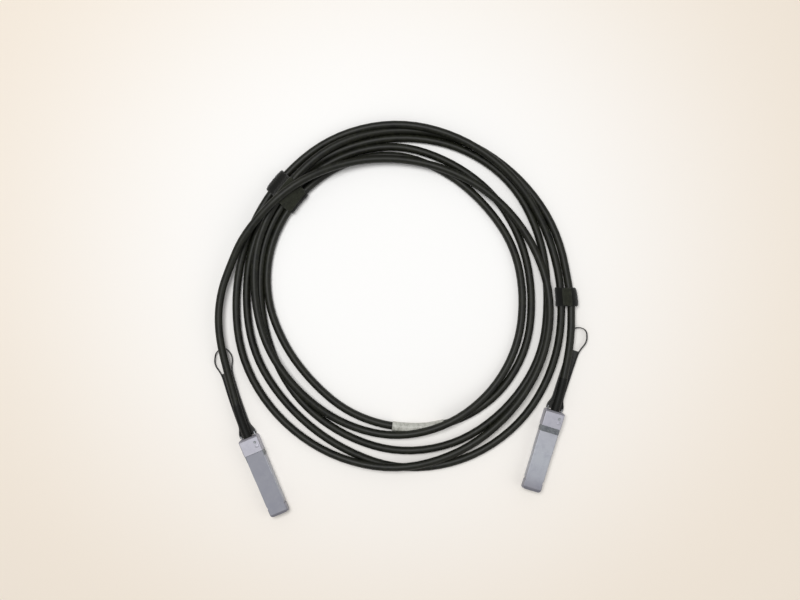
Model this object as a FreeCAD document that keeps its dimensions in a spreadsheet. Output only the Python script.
import FreeCAD, Part
import math
import os
import re
import Sketcher

# Direct attach copper cable: two pluggable metal-shelled plugs, one at each end of a long round
# cable that lies on a table in a loose coil, held by two ties.
# Row frame: +Z up from the surface the cable lies on, +X from the first plug to the second.
# Each plug is modelled in a frame of its own: +Y points from the cable towards the nose, X runs
# across the plug, Z is the height above the table, and y = 0 is the rear face of the head.

V = FreeCAD.Vector
doc = FreeCAD.newDocument("direct_attach_cable")
sheet = doc.addObject("Spreadsheet::Sheet", "sizes")

SIZES = [
    # cable
    ("cable_diameter", 5.3, "jacket"),
    ("core_diameter", 4.2, "braid under the jacket"),
    ("cable_height", 6.1, "cable axis above the table where it leaves a plug"),
    # head of the plug, outside the cage
    ("head_length", 11.7, "rear face to the stop shoulder"),
    ("stop_step", 0.15, "head wider than the body, each side"),
    ("head_height", 10.4, "from the table"),
    ("head_chamfer", 1.3, "rear top edge"),
    ("head_side_chamfer", 0.8, "rear corners"),
    # body of the plug, inside the cage
    ("cage_length", 47.5, "stop shoulder to nose"),
    ("body_width", 13.7, "across"),
    ("body_height", 8.6, "bottom to top"),
    ("body_lift", 0.45, "body bottom above the table, the height of the latch boss"),
    ("bottom_chamfer", 1.1, "lower long edges"),
    ("nose_length", 28.5, "slimmer front part"),
    ("nose_relief", 0.15, "front part slimmer than the body, each side"),
    ("nose_drop", 0.1, "front part lower than the body on top"),
    ("nose_corner", 2.2, "rounded front corners, seen from above"),
    ("bevel_length", 2.1, "slanted lip on top of the nose, along the plug"),
    ("bevel_drop", 0.7, "fall of that lip"),
    ("edge_round", 0.6, "upper long edges"),
    ("notch_length", 2.0, "keying notch in each side near the nose"),
    ("notch_depth", 0.6, "of that notch"),
    ("notch_setback", 6.2, "notch behind the nose"),
    ("skirt_wall", 0.8, "side walls"),
    ("roof_wall", 1.3, "top wall at the nose"),
    ("bulkhead_wall", 2.6, "solid wall between the ferrule and the wiring bay"),
    ("floor_wall", 0.6, "between the latch channel and the wiring bay"),
    ("bottom_opening", 10.4, "length of the open bottom at the nose"),
    # grounding collar
    ("collar_length", 4.3, "along the plug"),
    ("collar_thickness", 0.15, "spring sheet"),
    ("finger_length", 3.0, "spring fingers of the collar"),
    ("finger_width", 1.6, "across one finger"),
    ("finger_spacing", 0.5, "between the fingers of a side"),
    ("finger_bulge", 0.3, "how far a finger stands out"),
    # paddle card
    ("card_thickness", 1.0, "board"),
    ("card_width", 9.2, "plug-in end"),
    ("card_side_gap", 0.15, "beside the rear end, which fills the shell"),
    ("card_rear_length", 12.5, "of that wider end"),
    ("card_length", 25.0, "along the plug"),
    ("card_lift", 2.25, "card above the body bottom"),
    ("card_setback", 3.2, "front edge behind the nose"),
    ("card_corner", 0.5, "front corners cut off"),
    ("card_room", 0.4, "behind the card, in line with it"),
    ("pad_pitch", 0.8, "contact pads, centre to centre"),
    ("pad_width", 0.54, "one pad"),
    ("pad_length", 3.0, "one pad"),
    ("pad_thickness", 0.05, "copper and gold"),
    ("pad_setback", 0.4, "pads behind the card's front edge"),
    ("pads_per_side", 10, "pads on each face of the card"),
    ("chip_size", 2.6, "memory chip, square"),
    ("chip_height", 0.9, "above the card"),
    ("chip_place", 8.0, "chip ahead of the card's rear edge"),
    ("capacitor_length", 1.0, "coupling capacitor"),
    ("capacitor_width", 0.5, "coupling capacitor, and its height"),
    ("capacitor_offset", 3.4, "capacitors from the middle"),
    # cable end inside the head
    ("jacket_entry", 4.0, "jacket inside the head"),
    ("ferrule_diameter", 5.6, "crimp ferrule"),
    ("ferrule_length", 5.8, "along the cable"),
    ("pair_diameter", 1.7, "shielded wire pair"),
    ("pair_spread", 2.6, "pairs from the middle, on the card"),
    # latch
    ("latch_from_stop", 2.5, "latch shoulder ahead of the stop shoulder"),
    ("boss_length", 2.6, "latch boss"),
    ("boss_width", 2.6, "latch boss"),
    ("boss_flat", 0.8, "flat foot of the boss"),
    ("channel_width", 6.3, "latch channel in the lower shell"),
    ("channel_top", 2.85, "roof of the channel above the table"),
    ("channel_setback", 9.0, "channel from the rear face"),
    ("yoke_gap", 0.4, "wide rear part of the channel, beside the ears"),
    ("rear_wall", 1.0, "head wall behind the yoke"),
    ("pivot_setback", 8.8, "pivot pin ahead of the latch shoulder"),
    ("pivot_height", 1.3, "pivot pin above the table"),
    ("pin_diameter", 0.8, "pivot pin"),
    ("pin_length", 8.6, "pivot pin"),
    ("barrel_diameter", 1.5, "knuckle of the lever around its pin"),
    ("lever_bottom", 0.8, "underside of the lever above the table"),
    ("lever_top", 1.4, "top of the lever bar"),
    ("lever_tail", 6.0, "lever ahead of its pin"),
    ("lever_room", 0.6, "channel ahead of the lever"),
    ("cam_width", 3.2, "rear cam face of the lever"),
    ("slider_bottom", 2.2, "underside of the slider above the table"),
    ("slider_thickness", 0.5, "slider sheet"),
    ("yoke_setback", 6.5, "cross bar from the rear face"),
    ("yoke_thickness", 1.5, "cross bar along the plug"),
    ("yoke_bottom", 0.6, "cross bar above the table"),
    ("front_cam_radius", 0.4, "cross rib of the slider that presses the lever's tail"),
    ("rear_cam_radius", 0.35, "cross rib of the slider that holds the boss down"),
    ("cam_span", 4.4, "length of these ribs"),
    ("ear_inset", 1.8, "middle of an ear plate inside the head's side"),
    ("ear_thickness", 0.6, "ear plates"),
    ("ear_length", 2.4, "ears behind the rear face"),
    ("ear_bottom", 0.9, "above the table"),
    ("ear_height", 3.0, "ear plates"),
    ("cover_thickness", 0.4, "plate under the head"),
    ("cover_rim", 0.7, "head beside the plate"),
    ("cover_margin", 0.8, "plate from the rear face"),
    ("spring_thickness", 0.18, "zigzag spring strip"),
    ("spring_height", 1.4, "zigzag spring strip"),
    ("spring_width", 3.6, "zigzag spring across"),
    ("spring_runs", 8, "runs of the zigzag"),
    # pull ribbon
    ("ribbon_thickness", 0.5, "ribbon, standing on edge"),
    ("ribbon_height", 3.0, "ribbon"),
    ("ribbon_lift", 0.3, "ribbon above the table"),
    ("ribbon_start", 0.7, "front end of the ribbon behind the rear face"),
    ("ribbon_gap", 7.6, "between the middles of its two legs beside the cable"),
    ("root_length", 3.8, "part of the legs as wide apart as the ears"),
    ("root_taper", 4.6, "part in which the legs come together"),
    ("web_thickness", 0.6, "web that joins the legs under the cable"),
    ("loop_length", 17.0, "finger loop"),
    ("loop_width", 14.6, "finger loop, before its corners are rounded"),
    ("rivet_diameter", 1.2, "rivets that hold the ribbon to the ears"),
    ("rivet_head", 0.3, "thickness of a rivet's head"),
    # strain relief
    ("sleeve_length", 24.0, "shrunk sleeve behind the head"),
    ("sleeve_straight", 4.0, "part of it in line with the plug"),
    ("sleeve_wall", 0.42, "of the sleeve"),
    # places of the plugs on the table, and how each cable end leans
    ("plug_a_inset", 14.1, "rear face, middle, inside the coil's -X edge"),
    ("plug_a_y", -11.6, "rear face, middle"),
    ("plug_a_turn", 202.9, "degrees"),
    ("plug_a_bend", -8.0, "degrees the sleeve turns, towards its +X"),
    ("plug_a_lean", -5.9, "end of the ribbon's loop off the plug's middle line"),
    ("plug_a_reach", 66.0, "end of the ribbon's loop behind the rear face"),
    ("plug_b_inset", 10.0, "rear face, middle, inside the coil's +X edge"),
    ("plug_b_y", 7.5, "rear face, middle"),
    ("plug_b_turn", 163.0, "degrees"),
    ("plug_b_bend", 5.0, "degrees the sleeve turns, towards its +X"),
    ("plug_b_lean", -1.6, "end of the ribbon's loop off the plug's middle line"),
    ("plug_b_reach", 62.5, "end of the ribbon's loop behind the rear face"),
    ("label_inset", 0.65, "body beside the label, each side"),
    ("label_length", 45.4, "label on the first plug"),
    ("label_thickness", 0.12, "label on the first plug"),
    # coil
    ("coil_x", -1.0, "centre of the outer edge"),
    ("coil_y", 89.0, "centre of the outer edge"),
    ("coil_radius", 121.9, "outer edge"),
    ("opening_shift_x", -2.9, "centre of the open middle from that of the outer edge"),
    ("opening_shift_y", 2.9, "centre of the open middle from that of the outer edge"),
    ("pile_width", 32.3, "turns side by side, from the outer edge to the open middle"),
    ("coil_height", 9.0, "stacked turns"),
    ("coil_chamfer", 2.0, "rounds off the stacked turns"),
    ("tie_thickness", 1.2, "hook and loop strap"),
    ("tie_left_turn", 136.6, "degrees round the coil"),
    ("tie_left_width", 18.0, "strap"),
    ("tie_right_turn", -0.4, "degrees round the coil"),
    ("tie_right_width", 14.0, "strap"),
    ("tie_right_span", 9.5, "turns it holds, from the outer edge inwards"),
    ("cable_label_length", 34.0, "printed wrap on the innermost turn"),
    ("cable_label_height", 6.0, "printed wrap"),
    ("cable_label_thickness", 0.3, "printed wrap"),
    ("cable_label_turn", 277.0, "degrees round the coil, middle of the wrap"),
    # clearances
    ("press_gap", 0.05, "between pieces that are held together"),
    ("pin_gap", 0.04, "between a pin and its bore"),
    ("side_gap", 0.25, "beside a sliding piece"),
    ("cam_gap", 0.08, "between slider and lever"),
    ("seat_gap", 0.3, "between soft pieces"),
]
ALIASES = {alias for alias, _, _ in SIZES}


def fill_sheet():
    """Write each driving size with its name and what it is."""
    for row, (alias, number, note) in enumerate(SIZES, 1):
        sheet.set(f"A{row}", alias)
        sheet.set(f"B{row}", str(number))
        sheet.set(f"C{row}", note)
        sheet.setAlias(f"B{row}", alias)
    doc.recompute()


def size(alias):
    """Number in a cell."""
    return float(sheet.get(alias))


def cells(text):
    """Expression text with each size's name turned into a reference to its cell."""
    return re.sub(r"[a-z][a-z_]*", lambda word: f"sizes.{word[0]}" if word[0] in ALIASES else word[0], text)


def number(text):
    """Value of an expression in the sizes that has no functions in it."""
    scratch = doc.addObject("App::FeaturePython", "Scratch")
    scratch.addProperty("App::PropertyFloat", "Value")
    bind(scratch, Value=text)
    scratch.recompute()
    value = scratch.Value
    doc.removeObject(scratch.Name)
    return value


def bind(thing, **expressions):
    """Bind properties to the sheet; a double underscore stands for a dot."""
    for name, text in expressions.items():
        thing.setExpression(name.replace("__", "."), cells(text))


# Places of the plugs and of the coil's open middle, as expressions
COIL_LOW = "(coil_x - coil_radius)"
COIL_HIGH = "(coil_x + coil_radius)"
PLUG_X = {"plug_a": f"{COIL_LOW} + plug_a_inset", "plug_b": f"{COIL_HIGH} - plug_b_inset"}
OPENING_X = "(coil_x + opening_shift_x)"
OPENING_Y = "(coil_y + opening_shift_y)"
OPENING_RADIUS = "(coil_radius - pile_width)"

# Half widths of a plug, as expressions
BODY_HALF = "(body_width / 2)"
HEAD_HALF = "(body_width / 2 + stop_step)"
NOSE_HALF = "(body_width / 2 - nose_relief)"
ROOM_HALF = "(body_width / 2 - nose_relief - skirt_wall)"
EAR = "(body_width / 2 + stop_step - ear_inset)"
COVER_HALF = "(body_width / 2 + stop_step - cover_rim)"

# Places along a plug and heights above the table, as expressions
STOP = "head_length"
NOSE = "(head_length + cage_length)"
LATCH = "(head_length + latch_from_stop)"
PIVOT = "(head_length + latch_from_stop + pivot_setback)"
CARD_REAR = "(head_length + cage_length - card_setback - card_length)"
CARD_FRONT = "(head_length + cage_length - card_setback)"
CARD_BOTTOM = "(body_lift + card_lift)"
CARD_TOP = "(body_lift + card_lift + card_thickness)"
CHANNEL_END = "(head_length + latch_from_stop + pivot_setback + lever_tail + lever_room)"
BAY = "(head_length + bulkhead_wall / 2)"
BODY_TOP = "(body_lift + body_height)"
NOSE_TOP = "(body_lift + body_height - nose_drop)"
BAY_FLOOR = "(channel_top + floor_wall)"


# ---------------------------------------------------------------- helpers for solids


def box(name, x, y, z):
    """Box from three (low, length) pairs of expressions."""
    solid = doc.addObject("Part::Box", name)
    bind(solid, Length=x[1], Width=y[1], Height=z[1])
    bind(solid, Placement__Base__x=x[0], Placement__Base__y=y[0], Placement__Base__z=z[0])
    return solid


def rod(name, axis, radius, length, x, y, z):
    """Cylinder along X, Y or Z from the point (x, y, z)."""
    solid = doc.addObject("Part::Cylinder", name)
    turns = {"X": (V(0, 1, 0), 90), "Y": (V(1, 0, 0), -90), "Z": (V(0, 0, 1), 0)}
    solid.Placement = FreeCAD.Placement(V(), FreeCAD.Rotation(*turns[axis]))
    bind(solid, Radius=radius, Height=length)
    bind(solid, Placement__Base__x=x, Placement__Base__y=y, Placement__Base__z=z)
    return solid


def fused(name, pieces):
    joined = doc.addObject("Part::MultiFuse", name)
    joined.Shapes = pieces
    return joined


def cut(name, base, tool):
    rest = doc.addObject("Part::Cut", name)
    rest.Base = base
    rest.Tool = tool
    return rest


def feature(name, shape):
    solid = doc.addObject("Part::Feature", name)
    solid.Shape = shape
    return solid


def outline(body, name, role, points, offset):
    """Closed polygon sketch on one of the body's planes, every corner bound to the sheet."""
    sketch = body.newObject("Sketcher::SketchObject", name)
    origin_plane = next(part for part in body.Origin.OriginFeatures if part.Role == role)
    sketch.AttachmentSupport = [(origin_plane, "")]
    sketch.MapMode = "FlatFace"
    count = len(points)
    start = [V(math.cos(i * math.tau / count), math.sin(i * math.tau / count), 0) for i in range(count)]
    for i in range(count):
        sketch.addGeometry(Part.LineSegment(start[i], start[(i + 1) % count]), False)
    for i in range(count):
        sketch.addConstraint(Sketcher.Constraint("Coincident", i, 2, (i + 1) % count, 1))
    for i, corner in enumerate(points):
        for kind, text in zip(("DistanceX", "DistanceY"), corner):
            index = sketch.addConstraint(Sketcher.Constraint(kind, -1, 1, i, 1, 1.0))
            sketch.setExpression(f"Constraints[{index}]", cells(text))
    bind(sketch, AttachmentOffset__Base__z=offset)
    return sketch


def circle(body, name, role, x, y, diameter, offset):
    """Circle sketch on one of the body's planes."""
    sketch = body.newObject("Sketcher::SketchObject", name)
    origin_plane = next(part for part in body.Origin.OriginFeatures if part.Role == role)
    sketch.AttachmentSupport = [(origin_plane, "")]
    sketch.MapMode = "FlatFace"
    sketch.addGeometry(Part.Circle(V(0, 0, 0), V(0, 0, 1), 1.0), False)
    for kind, args, text in (
        ("DistanceX", (-1, 1, 0, 3), x), ("DistanceY", (-1, 1, 0, 3), y), ("Diameter", (0,), diameter)
    ):
        index = sketch.addConstraint(Sketcher.Constraint(kind, *args, 1.0))
        sketch.setExpression(f"Constraints[{index}]", cells(text))
    bind(sketch, AttachmentOffset__Base__z=offset)
    return sketch


def grow(body, name, sketch, length, up=True, both=False):
    """Pad a sketch; up means along the plug for a section, or upwards for a plan."""
    pad = body.newObject("PartDesign::Pad", name)
    pad.Profile = sketch
    bind(pad, Length=length)
    pad.Reversed = "Section" in sketch.Name and up
    pad.Midplane = both
    return pad


def hollow(body, name, sketch, length, both=False):
    """Pocket a sketch, along the plug for a section, or upwards for a plan."""
    pocket = body.newObject("PartDesign::Pocket", name)
    pocket.Profile = sketch
    bind(pocket, Length=length)
    pocket.Reversed = "Plan" in sketch.Name
    pocket.Midplane = both
    return pocket


def section(body, name, points, y):
    """Cross-section of the plug, padded or pocketed from y towards the nose."""
    return outline(body, "Section" + name, "XZ_Plane", points, f"-({y})")


def plan(body, name, points, z):
    """Outline seen from above, at height z."""
    return outline(body, "Plan" + name, "XY_Plane", points, z)


def across(half_width, low, high):
    """Rectangle as corner expressions, symmetric about the middle."""
    return [(f"-({half_width})", low), (half_width, low), (half_width, high), (f"-({half_width})", high)]


def round_edges(body, name, kind, width, chosen):
    """Fillet or chamfer the edges of the last feature that the test function picks."""
    doc.recompute()
    base = body.Tip
    edges = [f"Edge{i}" for i, edge in enumerate(base.Shape.Edges, 1) if chosen(edge)]
    if not edges:
        raise RuntimeError(f"{name}: no edge found")
    dressed = body.newObject(f"PartDesign::{kind}", name)
    dressed.Base = (base, edges)
    bind(dressed, **{"Radius" if kind == "Fillet" else "Size": width})
    return dressed


def near(a, b):
    return abs(a - b) < 1e-4


def runs_along(edge, axis):
    """True for a straight edge along X, Y or Z."""
    ends = [vertex.Point for vertex in edge.Vertexes]
    if len(ends) != 2 or edge.Curve.TypeId != "Part::GeomLine":
        return False
    step = ends[1] - ends[0]
    return abs(getattr(step, axis)) > 0.999 * step.Length


def middle(edge):
    return edge.BoundBox.Center


# ---------------------------------------------------------------- helpers for routes


def rounded_route(points):
    """Straight runs joined by tangent arcs, each as large as its two runs allow.

    Returns pieces (kind, start, middle, end, start direction, middle direction, end direction) and the radii.
    """
    pieces, radii = [], []
    here = points[0]
    for before, corner, after in zip(points, points[1:], points[2:]):
        way_in, way_out = (corner - before), (after - corner)
        shorter = min(way_in.Length, way_out.Length)
        way_in.normalize()
        way_out.normalize()
        half = way_in.getAngle(way_out) / 2
        if half < 1e-6:
            continue
        radius = 0.45 * shorter / math.tan(half)
        radii.append(radius)
        start, end = corner - way_in * (0.45 * shorter), corner + way_out * (0.45 * shorter)
        inward = way_out - way_in
        inward.normalize()
        top = corner + inward * (radius / math.cos(half) - radius)
        along = way_in + way_out
        along.normalize()
        pieces.append(("line", here, None, start, way_in, None, way_in))
        pieces.append(("arc", start, top, end, way_in, along, way_out))
        here = end
    last = points[-1] - here
    last.normalize()
    pieces.append(("line", here, None, points[-1], last, None, last))
    return pieces, radii


def route_edges(pieces):
    return [
        Part.LineSegment(a, b).toShape() if kind == "line" else Part.Arc(a, m, b).toShape()
        for kind, a, m, b, _, _, _ in pieces
    ]


def route_length(pieces):
    return sum(edge.Length for edge in route_edges(pieces))


def tube(pieces, diameter):
    """Round bar along a route."""
    spine = Part.Wire(route_edges(pieces))
    ring = Part.Wire(Part.makeCircle(diameter / 2, pieces[0][1], pieces[0][4]))
    return spine.makePipeShell([ring], True, False)


def strip(pieces, thickness, bottom, height):
    """Flat band standing on edge along a route that lies in a level plane."""
    edges = []
    for side in (1, -1):
        for kind, a, m, b, at_a, at_m, at_b in pieces:
            shifted = [
                point + V(-way.y, way.x, 0) * (side * thickness / 2)
                for point, way in ((a, at_a), (m, at_m), (b, at_b))
                if point is not None
            ]
            if kind == "line":
                edges.append(Part.LineSegment(*shifted).toShape())
            else:
                edges.append(Part.Arc(*shifted).toShape())
    ends = [pieces[0], pieces[-1]]
    for point, way in ((ends[0][1], ends[0][4]), (ends[1][3], ends[1][6])):
        normal = V(-way.y, way.x, 0) * (thickness / 2)
        edges.append(Part.LineSegment(point - normal, point + normal).toShape())
    face = Part.Face(Part.Wire(Part.__sortEdges__(edges)))
    band = face.extrude(V(0, 0, height))
    band.translate(V(0, 0, bottom))
    return band


# ---------------------------------------------------------------- the pieces of a plug

SUBPARTS = []


def keep(thing, label, plug=None):
    """Name a sub-part and, if it belongs to a plug, set it where that plug lies."""
    thing.Label = label
    if plug:
        bind(thing, Placement__Base__x=PLUG_X[plug], Placement__Base__y=f"{plug}_y")
        bind(thing, Placement__Rotation__Angle=f"{plug}_turn")
    SUBPARTS.append(thing)
    return thing


def lower_section(half_width):
    """Lower half of the body's section, with its long bottom edges chamfered."""
    return [
        (f"-({half_width}) + bottom_chamfer", "body_lift"),
        (f"({half_width}) - bottom_chamfer", "body_lift"),
        (half_width, "body_lift + bottom_chamfer"),
        (half_width, "cable_height"),
        (f"-({half_width})", "cable_height"),
        (f"-({half_width})", "body_lift + bottom_chamfer"),
    ]


COLLAR_RECESS = "(collar_thickness + press_gap)"


def notch_sides(body, low, height):
    """Small keying notch in each side near the nose."""
    for side, name in (("", "Right"), ("-", "Left")):
        outer, inner = f"{NOSE_HALF} + 1", f"{NOSE_HALF} - notch_depth"
        start = f"{NOSE} - notch_setback - notch_length"
        end = f"{NOSE} - notch_setback"
        corners = [
            (f"{side}({inner})", start), (f"{side}({outer})", start),
            (f"{side}({outer})", end), (f"{side}({inner})", end),
        ]
        hollow(body, "Notch" + name, plan(body, "Notch" + name, corners, low), height)


def housing_bottom(tag, plug):
    """Lower die-cast shell: head, collar seat, body, card ledge, latch channel and its slots."""
    body = doc.addObject("PartDesign::Body", "HousingBottom" + tag)
    grow(body, "Head", section(body, "Head", across(HEAD_HALF, "0", "cable_height"), "0"), STOP)
    seat = f"body_width / 2 - {COLLAR_RECESS}"
    seat_outline = lower_section(seat)
    seat_outline[0] = (seat_outline[0][0], f"body_lift + {COLLAR_RECESS}")
    seat_outline[1] = (seat_outline[1][0], f"body_lift + {COLLAR_RECESS}")
    grow(body, "CollarSeat", section(body, "CollarSeat", seat_outline, STOP), "collar_length + 0.1")
    after_collar = f"{STOP} + collar_length + 0.1"
    grow(
        body, "Middle", section(body, "Middle", lower_section("body_width / 2"), after_collar),
        "cage_length - nose_length - collar_length - 0.1",
    )
    grow(
        body, "Nose", section(body, "Nose", lower_section(NOSE_HALF), f"{NOSE} - nose_length"),
        "nose_length",
    )
    # room for the wires over the latch channel, then for the card
    hollow(
        body, "WiringBay", section(body, "WiringBay", across(ROOM_HALF, BAY_FLOOR, "cable_height + 1"), BAY),
        f"{CARD_REAR} - {BAY} - card_room",
    )
    hollow(
        body, "CardBay", section(body, "CardBay", across(ROOM_HALF, CARD_BOTTOM, "cable_height + 1"),
                                 f"{CARD_REAR} - card_room"),
        "card_length + card_setback + 1",
    )
    hollow(
        body, "OpenBottom", section(body, "OpenBottom", across(ROOM_HALF, "-1", "cable_height"),
                                    f"{NOSE} - bottom_opening"),
        "bottom_opening + 1",
    )
    # latch channel with its wide rear part, the ears' slots and the seat of the cover
    hollow(
        body, "Channel", section(body, "Channel", across("channel_width / 2", "-1", "channel_top"),
                                 "channel_setback - 0.5"),
        f"{CHANNEL_END} - channel_setback + 0.5",
    )
    yoke_half = f"{EAR} + ear_thickness / 2 + yoke_gap"
    hollow(
        body, "YokeRoom",
        section(body, "YokeRoom", across(yoke_half, "-1", "channel_top"), "rear_wall"),
        "channel_setback - rear_wall",
    )
    for side, name in (("", "Right"), ("-", "Left")):
        low = f"{EAR} - ear_thickness / 2 - side_gap"
        high = f"{EAR} + ear_thickness / 2 + side_gap"
        foot, top = "ear_bottom - side_gap", "ear_bottom + ear_height + side_gap"
        near_side, far_side = f"{side}({low})", f"{side}({high})"
        corners = [(near_side, foot), (far_side, foot), (far_side, top), (near_side, top)]
        hollow(body, "EarSlot" + name, section(body, "EarSlot" + name, corners, "-1"), "channel_setback + 1")
    cover_half = f"{COVER_HALF} + press_gap"
    hollow(
        body, "CoverSeat", section(body, "CoverSeat", across(cover_half, "-1", "cover_thickness"),
                                   "cover_margin - press_gap"),
        "head_length - 2 * cover_margin + 2 * press_gap",
    )
    # round ways for the cable, its ferrule and its bare core
    bore = circle(body, "SectionBore", "XZ_Plane", "0", "cable_height", "cable_diameter + 2 * press_gap", "1")
    hollow(body, "Bore", bore, "jacket_entry + 1.1")
    pocket = circle(body, "SectionFerrule", "XZ_Plane", "0", "cable_height",
                    "ferrule_diameter + 2 * press_gap", "-jacket_entry")
    hollow(body, "FerrulePocket", pocket, "ferrule_length + 2 * press_gap")
    way = circle(body, "SectionCore", "XZ_Plane", "0", "cable_height", "core_diameter + 2 * press_gap",
                 "-jacket_entry")
    hollow(body, "CoreWay", way, f"{BAY} - jacket_entry + 0.5")
    # bore for the pivot pin
    pin = circle(body, "SidePin", "YZ_Plane", PIVOT, "pivot_height", "pin_diameter + 2 * pin_gap", "0")
    hollow(body, "PinBore", pin, "pin_length + 2 * pin_gap", both=True)
    notch_sides(body, "-1", "cable_height + 2")
    half_head, half_nose, nose = number(HEAD_HALF), number(NOSE_HALF), number(NOSE)
    round_edges(body, "NoseCorners", "Fillet", "nose_corner * 0.35", lambda edge: (
        runs_along(edge, "z") and near(abs(middle(edge).x), half_nose) and near(middle(edge).y, nose)
    ))
    round_edges(body, "HeadCorners", "Chamfer", "head_side_chamfer", lambda edge: (
        runs_along(edge, "z") and near(abs(middle(edge).x), half_head) and near(middle(edge).y, 0)
    ))
    return keep(body, "housing_bottom_" + tag, plug)


def housing_top(tag, plug):
    """Upper die-cast shell: head, collar seat, body and nose, hollow over the card."""
    body = doc.addObject("PartDesign::Body", "HousingTop" + tag)
    head = section(body, "Head", across(HEAD_HALF, "cable_height", "head_height"), "0")
    grow(body, "Head", head, STOP)
    seat = f"body_width / 2 - {COLLAR_RECESS}"
    grow(
        body, "CollarSeat",
        section(body, "CollarSeat", across(seat, "cable_height", f"{BODY_TOP} - {COLLAR_RECESS}"), STOP),
        "collar_length + 0.1",
    )
    grow(
        body, "Middle",
        section(
            body, "Middle", across("body_width / 2", "cable_height", BODY_TOP),
            f"{STOP} + collar_length + 0.1",
        ),
        "cage_length - nose_length - collar_length - 0.1",
    )
    grow(
        body, "Nose",
        section(body, "Nose", across(NOSE_HALF, "cable_height", NOSE_TOP), f"{NOSE} - nose_length"),
        "nose_length",
    )
    room = across(ROOM_HALF, "cable_height - 1", f"{NOSE_TOP} - roof_wall")
    hollow(body, "Bay", section(body, "Bay", room, BAY), f"{NOSE} - {BAY} + 1")
    bore = circle(body, "SectionBore", "XZ_Plane", "0", "cable_height", "cable_diameter + 2 * press_gap", "1")
    hollow(body, "Bore", bore, "jacket_entry + 1.1")
    pocket = circle(body, "SectionFerrule", "XZ_Plane", "0", "cable_height",
                    "ferrule_diameter + 2 * press_gap", "-jacket_entry")
    hollow(body, "FerrulePocket", pocket, "ferrule_length + 2 * press_gap")
    way = circle(body, "SectionCore", "XZ_Plane", "0", "cable_height", "core_diameter + 2 * press_gap",
                 "-jacket_entry")
    hollow(body, "CoreWay", way, f"{BAY} - jacket_entry + 0.5")
    notch_sides(body, "cable_height - 1", "body_height")
    lip = outline(body, "SideLip", "YZ_Plane", [
        (f"{NOSE} - bevel_length", NOSE_TOP), (f"{NOSE} + bevel_length", f"{NOSE_TOP} - 2 * bevel_drop"),
        (f"{NOSE} + bevel_length", f"{NOSE_TOP} + 1"), (f"{NOSE} - bevel_length", f"{NOSE_TOP} + 1"),
    ], "0")
    hollow(body, "NoseLip", lip, "body_width", both=True)
    half_head, half_body, half_nose = number(HEAD_HALF), number(BODY_HALF), number(NOSE_HALF)
    nose, body_top, nose_top = number(NOSE), number(BODY_TOP), number(NOSE_TOP)
    round_edges(body, "NoseCorners", "Fillet", "nose_corner", lambda edge: (
        runs_along(edge, "z") and near(abs(middle(edge).x), half_nose) and near(middle(edge).y, nose)
    ))
    round_edges(body, "HeadRear", "Chamfer", "head_chamfer", lambda edge: (
        runs_along(edge, "x") and near(middle(edge).y, 0) and near(middle(edge).z, size("head_height"))
    ))
    round_edges(body, "HeadCorners", "Chamfer", "head_side_chamfer", lambda edge: (
        near(abs(middle(edge).x), half_head) and near(middle(edge).y, 0) and runs_along(edge, "z")
    ))
    round_edges(body, "LongEdges", "Fillet", "edge_round", lambda edge: (
        runs_along(edge, "y") and (
            near(abs(middle(edge).x), half_head) and near(middle(edge).z, size("head_height"))
            or near(abs(middle(edge).x), half_body) and near(middle(edge).z, body_top)
            or near(abs(middle(edge).x), half_nose) and near(middle(edge).z, nose_top)
        )
    ))
    return keep(body, "housing_top_" + tag, plug)


def emi_collar(tag, plug):
    """Spring-sheet band round the body behind the stop shoulder, with bulged grounding fingers."""
    thick, bulge = size("collar_thickness"), size("finger_bulge")
    half, lift, chamfer = size("body_width") / 2, size("body_lift"), size("bottom_chamfer")
    top = lift + size("body_height")
    start, length = size("head_length") + size("press_gap"), size("collar_length")

    def ring(inset):
        corners = [
            (-half + chamfer, lift + inset), (half - chamfer, lift + inset), (half - inset, lift + chamfer),
            (half - inset, top - inset), (-half + inset, top - inset), (-half + inset, lift + chamfer),
        ]
        loop = Part.makePolygon([V(x, start, z) for x, z in corners + corners[:1]])
        return Part.Face(loop)

    band = ring(0).cut(ring(thick)).extrude(V(0, length, 0))
    gap = size("channel_width") / 2 + size("side_gap")
    band = band.cut(Part.makeBox(2 * gap, length + 2, 3, V(-gap, start - 1, -1)))
    # bulged fingers on the two sides and beside the latch channel
    reach, width = size("finger_length"), size("finger_width")
    fingers = []
    root, spacing = start + (length - reach) / 2, size("finger_spacing")
    for side in (1, -1):
        for i in range(3):
            corner = V(side * half, root, lift + chamfer + spacing + i * (width + spacing))
            fingers.append(finger(reach, bulge, thick, width, corner, V(side, 0, 0), V(0, 0, 1)))
        corner = V(side * (gap + spacing / 2 + width / 2) - width / 2, root, lift)
        fingers.append(finger(reach, bulge, thick, width, corner, V(0, 0, -1), V(1, 0, 0)))
    collar = band.multiFuse(fingers).removeSplitter()
    return keep(feature("EmiCollar" + tag, collar), "emi_collar_" + tag, plug)


def finger(reach, bulge, thick, width, corner, outward, along):
    """One arched strip: its foot starts at the corner and it stands out by the bulge."""
    sag = V(0, reach / 2, 0)
    outer = Part.Arc(corner, corner + sag + outward * bulge, corner + sag * 2)
    inner = Part.Arc(
        corner - outward * thick, corner + sag + outward * (bulge - thick), corner + sag * 2 - outward * thick
    )
    sides = [
        Part.LineSegment(corner, corner - outward * thick).toShape(),
        Part.LineSegment(corner + sag * 2, corner + sag * 2 - outward * thick).toShape(),
    ]
    wire = Part.Wire(Part.__sortEdges__([outer.toShape(), inner.toShape(), *sides]))
    return Part.Face(wire).extrude(along * width)


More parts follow.
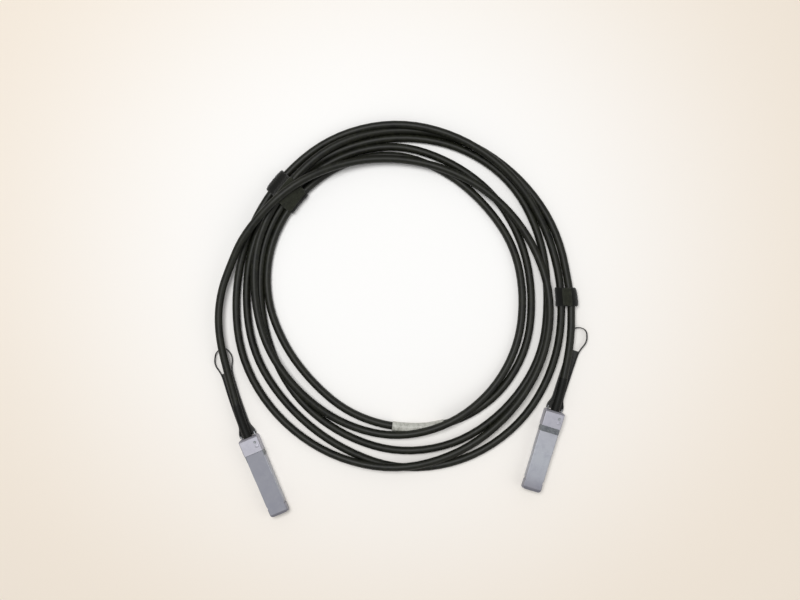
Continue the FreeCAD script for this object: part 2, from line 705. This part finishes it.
def latch_cover(tag, plug):
    """Plate pressed into the underside of the head, which keeps the slider in."""
    body = doc.addObject("PartDesign::Body", "LatchCover" + tag)
    corners = across(COVER_HALF, "cover_margin", "head_length - cover_margin")
    grow(body, "Plate", plan(body, "Plate", corners, "0"), "cover_thickness")
    return keep(body, "latch_cover_" + tag, plug)


def latch_slider(tag, plug):
    """Stamped slider: blade over the lever, two cams, cross bar for the spring, and two ears."""
    half = "(channel_width / 2 - side_gap)"
    sheet_metal = box(
        "Blade" + tag, (f"-{half}", f"2 * {half}"), ("yoke_setback", f"{PIVOT} + 5.5 - yoke_setback"),
        ("slider_bottom", "slider_thickness"),
    )
    # window that the lever's rear cam rises into
    window = box(
        "Window" + tag, ("-cam_width / 2 - side_gap", "cam_width + 2 * side_gap"),
        (f"{PIVOT} - 6.1", "3.4"), ("slider_bottom - 1", "slider_thickness + 2"),
    )
    bar = box(
        "CrossBar" + tag, (f"-{EAR}", f"2 * {EAR}"), ("yoke_setback", "yoke_thickness"),
        ("yoke_bottom", "slider_bottom + slider_thickness - yoke_bottom"),
    )
    ears = [
        box(
            f"Ear{name}{tag}", (f"{side}{EAR} - ear_thickness / 2", "ear_thickness"),
            ("-ear_length", "ear_length + yoke_setback + yoke_thickness"), ("ear_bottom", "ear_height"),
        )
        for side, name in (("", "Right"), ("-", "Left"))
    ]
    # the front cam presses the lever's tail down, the rear cam holds its boss down at rest
    cams = [
        rod(f"CamFront{tag}", "X", "front_cam_radius", "cam_span", "-cam_span / 2", f"{PIVOT} + 5",
            "slider_bottom - 0.05"),
        rod(f"CamRear{tag}", "X", "rear_cam_radius", "cam_span", "-cam_span / 2", f"{PIVOT} - 6.5",
            "slider_bottom + 0.17"),
    ]
    blade = cut("BladeCut" + tag, sheet_metal, window)
    return keep(fused("LatchSlider" + tag, [blade, bar, *ears, *cams]), "latch_slider_" + tag, plug)


def latch_lever(tag, plug):
    """Rocker on its pin: the boss that locks behind the cage tongue, and two cam faces."""
    body = doc.addObject("PartDesign::Body", "LatchLever" + tag)
    # each cam face falls away so that a full pull of the slider leaves it just clear of its cam
    tail_top = "slider_bottom - 0.45 - cam_gap"
    rear_top = "slider_bottom - 0.18 - cam_gap"
    bar = outline(body, "SideBar", "YZ_Plane", [
        (f"{PIVOT} - 9.4", "lever_bottom"), (f"{PIVOT} + 4", "lever_bottom"),
        (f"{PIVOT} + lever_tail", "lever_bottom + 0.3"), (f"{PIVOT} + lever_tail", f"{tail_top} - 0.2"),
        (f"{PIVOT} + 5", tail_top), (f"{PIVOT} + 4", f"{tail_top} + 0.14"),
        (f"{PIVOT} + 3", f"{tail_top} + 0.2"), (f"{PIVOT} + 2.3", "lever_top"),
        (f"{PIVOT} - 9.4", "lever_top - 0.2"),
    ], "0")
    grow(body, "Bar", bar, "channel_width - 2 * side_gap", both=True)
    ramp = outline(body, "SideRamp", "YZ_Plane", [
        (f"{PIVOT} - 9.4", "lever_bottom + 0.1"), (f"{PIVOT} - 4.6", "lever_bottom + 0.1"),
        (f"{PIVOT} - 4.6", f"{rear_top} - 0.4"), (f"{PIVOT} - 5.4", rear_top), (f"{PIVOT} - 6.5", rear_top),
        (f"{PIVOT} - 7.5", f"{rear_top} - 0.27"), (f"{PIVOT} - 8.5", f"{rear_top} - 0.61"),
        (f"{PIVOT} - 9.4", f"{rear_top} - 0.72"),
    ], "0")
    grow(body, "Ramp", ramp, "cam_width", both=True)
    boss = outline(body, "SideBoss", "YZ_Plane", [
        (LATCH, "lever_bottom + 0.1"), (LATCH, "0"), (f"{LATCH} + boss_flat", "0"),
        (f"{LATCH} + boss_length", "lever_bottom + 0.1"),
    ], "0")
    grow(body, "Boss", boss, "boss_width", both=True)
    knuckle = circle(body, "SideKnuckle", "YZ_Plane", PIVOT, "pivot_height", "barrel_diameter", "0")
    grow(body, "Knuckle", knuckle, "channel_width - 2 * side_gap", both=True)
    pin = circle(body, "SidePin", "YZ_Plane", PIVOT, "pivot_height", "pin_diameter + 2 * pin_gap", "0")
    hollow(body, "PinBore", pin, "channel_width", both=True)
    return keep(body, "latch_lever_" + tag, plug)


def lever_pin(tag, plug):
    body = doc.addObject("PartDesign::Body", "LeverPin" + tag)
    pin = circle(body, "SidePin", "YZ_Plane", PIVOT, "pivot_height", "pin_diameter", "0")
    grow(body, "Pin", pin, "pin_length", both=True)
    return keep(body, "lever_pin_" + tag, plug)


def return_spring(tag, plug):
    """Zigzag strip spring between the head's rear wall and the slider's cross bar."""
    runs, half = int(size("spring_runs")), size("spring_width") / 2
    margin = size("press_gap") + size("spring_thickness")
    first, last = size("rear_wall") + margin, size("yoke_setback") - margin
    bends = [V(half if i % 2 else -half, first + (last - first) * i / runs, 0) for i in range(runs + 1)]
    strip_face = Part.makePolygon(bends).makeOffset2D(size("spring_thickness"), 2, True, True, False)
    spring = strip_face.extrude(V(0, 0, size("spring_height")))
    spring.translate(V(0, 0, (size("cover_thickness") + size("channel_top") - size("spring_height")) / 2))
    return keep(feature("ReturnSpring" + tag, spring), "return_spring_" + tag, plug)


def pull_ribbon(tag, plug):
    """Moulded pull: two legs on edge from the ears, a web between them, and a teardrop finger loop."""
    thick, lift = size("ribbon_thickness"), size("ribbon_lift")
    outer = number(EAR) + size("ear_thickness") / 2 + thick / 2
    half, reach, lean = size("ribbon_gap") / 2, size(plug + "_reach"), size(plug + "_lean")
    root, neck = size("root_length"), reach - size("loop_length")
    gathered = root + size("root_taper")

    def at(x, y):
        """Point of the plan; past the root it is carried sideways as the cable bends away."""
        return V(x + (lean * (y / reach) ** 2 if y > root else 0), -y, 0)

    leg = [(outer, size("ribbon_start")), (outer, root), (half, gathered), (half, (gathered + neck) / 2)]
    loop = [
        (half, neck), (size("loop_width") / 2, reach - size("loop_length") * 0.48),
        (size("loop_width") * 0.26, reach),
    ]
    right = [at(x, y) for x, y in leg + loop]
    left = [at(-x, y) for x, y in reversed(leg + loop)]
    pieces, _ = rounded_route(right + left)
    band = strip(pieces, thick, lift, size("ribbon_height"))
    # the web fills the plan of the route from the root to the neck of the loop
    front = Part.LineSegment(left[-1], right[0]).toShape()
    web = Part.Face(Part.Wire(Part.__sortEdges__([*route_edges(pieces), front])))
    web = web.extrude(V(0, 0, size("web_thickness")))
    web.translate(V(0, 0, lift))
    web = web.cut(Part.makeBox(2 * reach, reach, reach, V(-reach, -neck - reach, -1)))
    return keep(feature("PullRibbon" + tag, band.fuse(web).removeSplitter()), "pull_ribbon_" + tag, plug)


def ribbon_rivets(tag, plug):
    """Heads of the two rivets that hold the ribbon to the ears."""
    outer = f"({EAR} + ear_thickness / 2 + ribbon_thickness)"
    rivets = [
        rod(f"RivetHead{name}{tag}", "X", "rivet_diameter / 2", "rivet_head", start,
            "-(ribbon_start + root_length) / 2", "ribbon_lift + ribbon_height / 2")
        for start, name in ((outer, "Right"), (f"-{outer} - rivet_head", "Left"))
    ]
    return keep(fused("RibbonRivets" + tag, rivets), "ribbon_rivets_" + tag, plug)


def sleeve_bar(plug, diameter):
    """Round bar along the bent end of the cable, from the head's rear face to the sleeve's end."""
    straight, height = size("sleeve_straight"), size("cable_height")
    bend = math.radians(size(plug + "_bend"))
    radius = (size("sleeve_length") - straight) / bend
    rings = [Part.Wire(Part.makeCircle(diameter / 2, V(0, 0, height), V(0, -1, 0)))]
    for step in range(4):
        turn = bend * step / 3
        place = V(radius * (1 - math.cos(turn)), -straight - radius * math.sin(turn), height)
        rings.append(Part.Wire(Part.makeCircle(diameter / 2, place, V(math.sin(turn), -math.cos(turn), 0))))
    return Part.makeLoft(rings, True, True)


def strain_relief(tag, plug):
    """Shrunk sleeve over the cable behind the head."""
    bore = size("cable_diameter") + 2 * size("press_gap")
    sleeve = sleeve_bar(plug, bore + 2 * size("sleeve_wall")).cut(sleeve_bar(plug, bore))
    return keep(feature("StrainRelief" + tag, sleeve), "strain_relief_" + tag, plug)


def cable_end(tag, plug):
    """End of the cable: jacket through the sleeve into the head, then the bare braid."""
    height, entry = size("cable_height"), size("jacket_entry") - size("press_gap")
    jacket = Part.makeCylinder(size("cable_diameter") / 2, entry, V(0, 0, height), V(0, 1, 0))
    bay = size("head_length") + size("bulkhead_wall") / 2
    core = Part.makeCylinder(size("core_diameter") / 2, bay, V(0, 0, height), V(0, 1, 0))
    end = sleeve_bar(plug, size("cable_diameter")).multiFuse([jacket, core]).removeSplitter()
    return keep(feature("CableEnd" + tag, end), "cable_end_" + tag, plug)


def cable_ferrule(tag, plug):
    """Crimped ring round the braid, held in the pocket of the two shells."""
    start = "jacket_entry + press_gap"
    outer = rod(
        "FerruleOuter" + tag, "Y", "ferrule_diameter / 2", "ferrule_length", "0", start, "cable_height",
    )
    inner = rod(
        "FerruleInner" + tag, "Y", "core_diameter / 2 + pin_gap", "ferrule_length + 2", "0", start + " - 1",
        "cable_height",
    )
    return keep(cut("CableFerrule" + tag, outer, inner), "cable_ferrule_" + tag, plug)


def wire_pairs(tag, plug):
    """Two shielded wire pairs, each in one straight run from the braid's end down onto the card."""
    bay = size("head_length") + size("bulkhead_wall") / 2 + 4 * size("press_gap")
    card = size("head_length") + size("cage_length") - size("card_setback") - size("card_length")
    top = size("body_lift") + size("card_lift") + size("card_thickness")
    radius = size("pair_diameter") / 2
    pairs = []
    for side in (1, -1):
        start = V(side * (size("core_diameter") / 2 - radius), bay, size("cable_height"))
        end = V(side * size("pair_spread"), card + 3.5, top + radius + size("press_gap"))
        pairs.append(Part.makeCylinder(radius, (end - start).Length, start, end - start))
    return keep(feature("WirePairs" + tag, Part.makeCompound(pairs)), "wire_pairs_" + tag, plug)


def paddle_card(tag, plug):
    """Printed board: wide at the rear, where the shell grips it, narrower at the plug-in end."""
    body = doc.addObject("PartDesign::Body", "PaddleCard" + tag)
    step, rear_half = f"{CARD_REAR} + card_rear_length", f"{ROOM_HALF} - card_side_gap"
    half = [
        (rear_half, CARD_REAR), (rear_half, step), ("card_width / 2", step),
        ("card_width / 2", f"{CARD_FRONT} - card_corner"), ("card_width / 2 - card_corner", CARD_FRONT),
    ]
    corners = half + [(f"-({x})", y) for x, y in reversed(half)]
    grow(body, "Board", plan(body, "Board", corners, CARD_BOTTOM), "card_thickness")
    return keep(body, "paddle_card_" + tag, plug)


def contact_pads(tag, plug):
    """Gold pads on both faces of the plug-in end."""
    front = size("head_length") + size("cage_length") - size("card_setback") - size("pad_setback")
    bottom = size("body_lift") + size("card_lift")
    width, thick, count = size("pad_width"), size("pad_thickness"), int(size("pads_per_side"))
    pads = []
    for i in range(count):
        x = (i - (count - 1) / 2) * size("pad_pitch") - width / 2
        for z in (bottom - thick, bottom + size("card_thickness")):
            pads.append(Part.makeBox(width, size("pad_length"), thick, V(x, front - size("pad_length"), z)))
    return keep(feature("ContactPads" + tag, Part.makeCompound(pads)), "contact_pads_" + tag, plug)


def card_parts(tag, plug):
    """Memory chip and two coupling capacitors on top of the card."""
    chip, long, wide = size("chip_size"), size("capacitor_length"), size("capacitor_width")
    card = size("head_length") + size("cage_length") - size("card_setback") - size("card_length")
    start, top = card + size("chip_place"), size("body_lift") + size("card_lift") + size("card_thickness")
    parts = [Part.makeBox(chip, chip, size("chip_height"), V(-chip / 2, start, top))]
    for side in (1, -1):
        corner = V(side * size("capacitor_offset") - wide / 2, start + chip, top)
        parts.append(Part.makeBox(wide, long, wide, corner))
    return keep(feature("CardParts" + tag, Part.makeCompound(parts)), "card_parts_" + tag, plug)


def make_plug(tag):
    plug = "plug_" + tag
    makers = [
        housing_bottom, housing_top, emi_collar, latch_cover, latch_slider, latch_lever, lever_pin,
        return_spring, pull_ribbon, ribbon_rivets, strain_relief, cable_end, cable_ferrule, wire_pairs,
        paddle_card, contact_pads, card_parts,
    ]
    for maker in makers:
        maker(tag, plug)


def plug_label():
    """Plain label over the top of the first plug's body."""
    body = doc.addObject("PartDesign::Body", "PlugLabel")
    start = f"{STOP} + seat_gap"
    corners = across(f"{BODY_HALF} - label_inset", start, f"{start} + label_length")
    grow(body, "Film", plan(body, "Film", corners, BODY_TOP), "label_thickness")
    return keep(body, "plug_label_a", "plug_a")


# ---------------------------------------------------------------- the cable on the table

# Routes of the two ends, from the plug's sleeve to the coil, chosen by hand; X is counted from
# the coil's -X edge for the first end and from its +X edge for the second
TAIL_A = [
    V(6.06, 11.02, 6.1), V(2.98, 22.59, 6.1), V(-1.6, 39.6, 6.9), V(-5.7, 57.5, 8.3), V(-7.3, 75.4, 10.2),
    V(-5.4, 93.4, 12.6), V(0.2, 109.1, 13.7), V(8.6, 124.2, 13.55), V(16.5, 136.4, 13.45),
]
TAIL_B = [
    V(-3.82, 30.69, 6.1), V(-1.53, 41.45, 6.1), V(0.5, 53.9, 7.1), V(1.9, 66.5, 7.5), V(2.6, 77.9, 7.4),
    V(2.95, 88.3, 7.3),
]


def tail(name, edge, points):
    """Round tube along one end of the cable, beside an edge of the coil."""
    pieces, radii = rounded_route([V(edge, 0, 0) + point for point in points])
    diameter = size("cable_diameter")
    solid = tube(pieces, diameter)
    expected = math.pi * diameter ** 2 / 4 * route_length(pieces)
    print(f"{name}: {route_length(pieces):.1f} mm, radii", [round(r) for r in radii],
          f"volume / (section x length) = {solid.Volume / expected:.5f}")
    return keep(feature(name, solid), name)


def coil():
    """Outer shape of the stacked turns: a ring, with a slit where the right tie goes through."""
    body = doc.addObject("PartDesign::Body", "Coil")
    bottom = "tie_thickness + seat_gap"
    rim = circle(body, "PlanRim", "XY_Plane", "coil_x", "coil_y", "2 * coil_radius", bottom)
    grow(body, "Turns", rim, "coil_height")
    opening = circle(body, "PlanOpening", "XY_Plane", OPENING_X, OPENING_Y, f"2 * {OPENING_RADIUS}", bottom)
    hollow(body, "Opening", opening, "coil_height")
    inner = "coil_x + coil_radius - tie_right_span"
    slit = [
        (f"{inner} - tie_thickness - seat_gap", "coil_y - tie_right_width / 2 - 1"),
        (f"{inner} + seat_gap", "coil_y - tie_right_width / 2 - 1"),
        (f"{inner} + seat_gap", "coil_y + tie_right_width / 2 + 1"),
        (f"{inner} - tie_thickness - seat_gap", "coil_y + tie_right_width / 2 + 1"),
    ]
    hollow(body, "Slit", plan(body, "Slit", slit, bottom), "coil_height")
    whole = size("coil_radius") * 1.5
    round_edges(body, "SoftEdges", "Chamfer", "coil_chamfer", lambda edge: (
        edge.Curve.TypeId == "Part::GeomCircle" and edge.Length > whole
    ))
    return keep(body, "coil")


def strap(name, angle, low, high, width):
    """Strap wound once round the turns: a flat band seen from its edge, across the coil."""
    body = doc.addObject("PartDesign::Body", name.title().replace("_", ""))
    rise = "coil_height + 2 * tie_thickness + 2 * seat_gap"
    frame = [(f"{low} - tie_thickness", "0"), (f"{high} + tie_thickness", "0"),
             (f"{high} + tie_thickness", rise), (f"{low} - tie_thickness", rise)]
    outer = outline(body, "SectionOuter", "XZ_Plane", frame, "0")
    pad = grow(body, "Strap", outer, width, up=False, both=True)
    pad.Reversed = False
    room = [(low, "tie_thickness"), (high, "tie_thickness"), (high, f"{rise} - tie_thickness"),
            (low, f"{rise} - tie_thickness")]
    hollow(body, "Room", outline(body, "SectionRoom", "XZ_Plane", room, "0"), f"{width} + 2", both=True)
    doc.recompute()
    if name == "tie_left":
        round_edges(body, "SoftCorners", "Fillet", "tie_thickness * 0.6", lambda edge: runs_along(edge, "y"))
    keep(body, name)
    bind(body, Placement__Base__x="coil_x", Placement__Base__y="coil_y", Placement__Rotation__Angle=angle)
    return body


def ties():
    """One strap round all the turns, and one round the outer turns and the second end."""
    opening = "opening_shift_x * cos(tie_left_turn * 1 deg) + opening_shift_y * sin(tie_left_turn * 1 deg)"
    strap("tie_left", "tie_left_turn", f"{OPENING_RADIUS} + ({opening}) - seat_gap - 0.5",
          "coil_radius + seat_gap", "tie_left_width")
    strap("tie_right", "tie_right_turn", "coil_radius - tie_right_span",
          "coil_radius + cable_diameter + 2 * seat_gap", "tie_right_width")


def cable_label():
    """Printed wrap, set against the inside of the coil where the labelled turn lies."""
    body = doc.addObject("PartDesign::Body", "CableLabel")
    outer = f"{OPENING_RADIUS} - seat_gap"
    inner = f"{OPENING_RADIUS} - seat_gap - cable_label_thickness"
    low = "tie_thickness + seat_gap + coil_chamfer"
    top = f"{low} + cable_label_height"
    corners = [(inner, low), (outer, low), (outer, top), (inner, top)]
    strip_section = outline(body, "SectionWrap", "XZ_Plane", corners, "0")
    wrap = body.newObject("PartDesign::Revolution", "Wrap")
    wrap.Profile = strip_section
    wrap.ReferenceAxis = (strip_section, ["V_Axis"])
    bind(wrap, Angle=f"cable_label_length / {OPENING_RADIUS} * 180 / pi")
    keep(body, "cable_label")
    bind(body, Placement__Base__x=OPENING_X, Placement__Base__y=OPENING_Y,
         Placement__Rotation__Angle="cable_label_turn")
    return body


def check_and_write():
    """Stop if anything failed, then write one file for each sub-part."""
    doc.recompute()
    for thing in doc.Objects:
        if "Invalid" in thing.State or "Error" in thing.State:
            raise RuntimeError(f"{thing.Name} failed: {thing.State}")
    os.makedirs("parts", exist_ok=True)
    for thing in SUBPARTS:
        shape = thing.Shape
        if shape.isNull() or not shape.isValid() or not shape.Solids:
            raise RuntimeError(f"{thing.Label} has no valid solid")
        shape.exportStep(f"parts/{thing.Label}.step")
    print(len(SUBPARTS), "sub-parts written")


fill_sheet()
for plug_tag in ("a", "b"):
    make_plug(plug_tag)
plug_label()
coil()
ties()
cable_label()
tail("tail_a", size("coil_x") - size("coil_radius"), TAIL_A)
tail("tail_b", size("coil_x") + size("coil_radius"), TAIL_B)
check_and_write()
